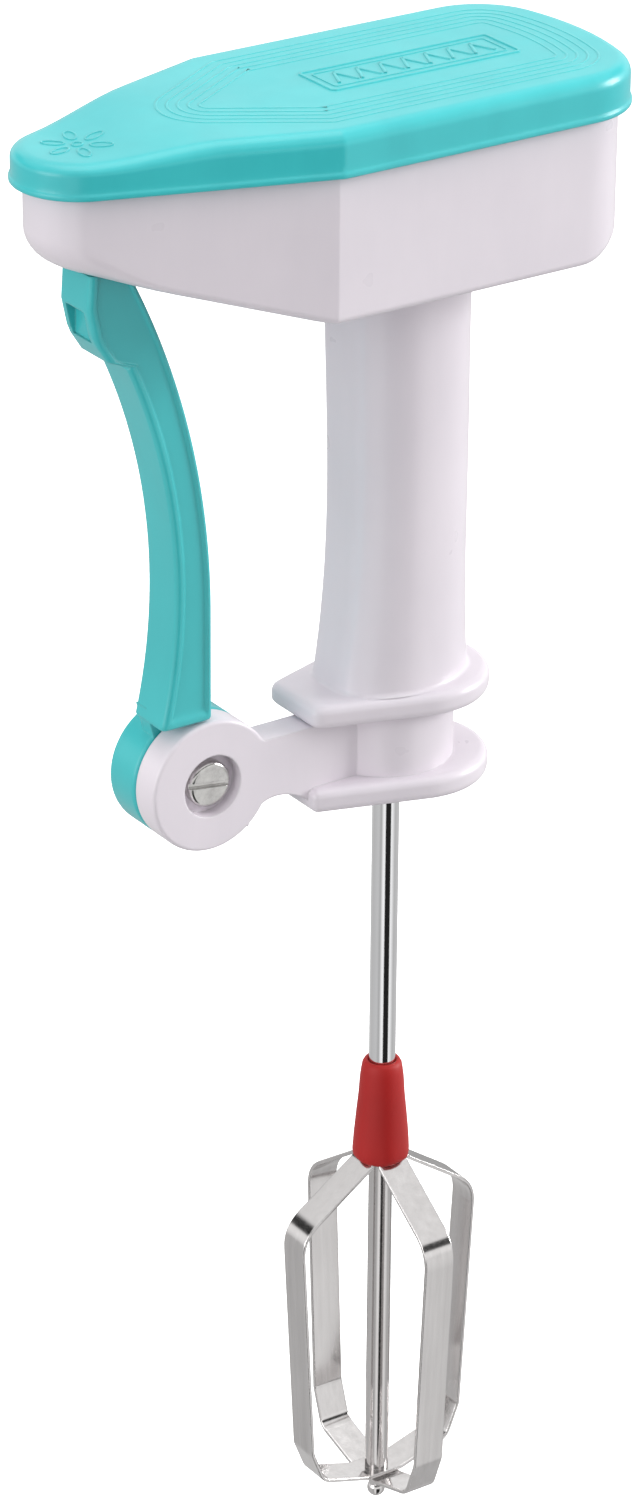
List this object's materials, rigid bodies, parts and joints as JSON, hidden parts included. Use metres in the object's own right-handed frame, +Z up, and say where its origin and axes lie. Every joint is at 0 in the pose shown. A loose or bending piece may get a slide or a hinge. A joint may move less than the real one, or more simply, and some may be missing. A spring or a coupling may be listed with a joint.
{
  "type": "egg beater",
  "caption": "Hand egg beater: squeezing a lever beside the grip drives a rack and gears that spin a wire-strip whisk under the head.",
  "frame": {"origin": "on the beater shaft's axis, at the middle of the grip", "axes": "+Z up the shaft towards the cover, -X towards the nose and the lever, -Y the side with the pivot screw's head"},
  "size_m": [0.1405, 0.0592, 0.3488],
  "materials": {
    "case_white": "smooth moulded, satin gloss",
    "cover_teal": "smooth moulded, satin gloss",
    "lever_teal": "smooth moulded, satin gloss",
    "ferrule_red": "soft gloss",
    "shaft_chrome": "polished",
    "strip_steel": "polished, fine grain along the strip",
    "fixing_steel": "zinc plated",
    "bush_brass": "sintered",
    "gear_nylon": "natural nylon",
    "plate_white": "moulded",
    "spring_steel": "oiled wire"
  },
  "bodies": {
    "body": {"gear_case": "case_white", "grip": "case_white", "top_cover": "cover_teal", "cover_screws": "fixing_steel", "bearing_plate": "plate_white", "bearing_plate_screws": "fixing_steel", "lower_bracket": "case_white", "bracket_screws": "fixing_steel", "lower_bush": "bush_brass", "upper_bush": "bush_brass", "top_bush": "bush_brass", "drive_gear_axle": "fixing_steel", "axle_washers": "fixing_steel", "thrust_washer": "fixing_steel", "rack_guide": "plate_white", "guide_screws": "fixing_steel", "return_spring": "spring_steel", "pivot_screw": "fixing_steel", "pivot_nut": "fixing_steel", "pivot_washer": "fixing_steel"},
    "lever": {"lever": "lever_teal", "drive_pin": "fixing_steel"},
    "rack": {"rack": "gear_nylon"},
    "drive_gear": {"drive_gear": "gear_nylon"},
    "beater": {"main_shaft": "shaft_chrome", "shaft_pinion": "gear_nylon", "retaining_clip": "fixing_steel", "ferrule": "ferrule_red", "beater_loop_upper": "strip_steel", "beater_loop_lower": "strip_steel", "beater_spindle": "strip_steel", "tip_rivet": "strip_steel"}
  },
  "joints": [
    {"name": "shaft_spin", "type": "hinge", "parent": "body", "child": "beater", "pos_m": [0, 0, 0], "axis": [0, 0, 1], "range_deg": [0, 1002.68]},
    {"name": "drive_gear_spin", "type": "hinge", "parent": "body", "child": "drive_gear", "pos_m": [-0.027, 0, 0.084], "axis": [0, 0, 1], "range_deg": [-286.49, 0]},
    {"name": "rack_slide", "type": "slide", "parent": "body", "child": "rack", "axis": [1, 0, 0], "range_m": [0, 0.03001], "stiffness_N_per_m": 250, "springref_m": -0.02, "deforming": ["return_spring"]},
    {"name": "lever_squeeze", "type": "hinge", "parent": "body", "child": "lever", "pos_m": [-0.0493, 0.0063, -0.0521], "axis": [0, 1, 0], "range_deg": [0, 13.37]}
  ],
  "couplings": [
    {"joint": "drive_gear_spin", "follows": "shaft_spin", "ratio": -0.28571},
    {"joint": "rack_slide", "follows": "shaft_spin", "m_per_rad": 0.0017143},
    {"joint": "lever_squeeze", "follows": "shaft_spin", "ratio": 0.013332}
  ]
}
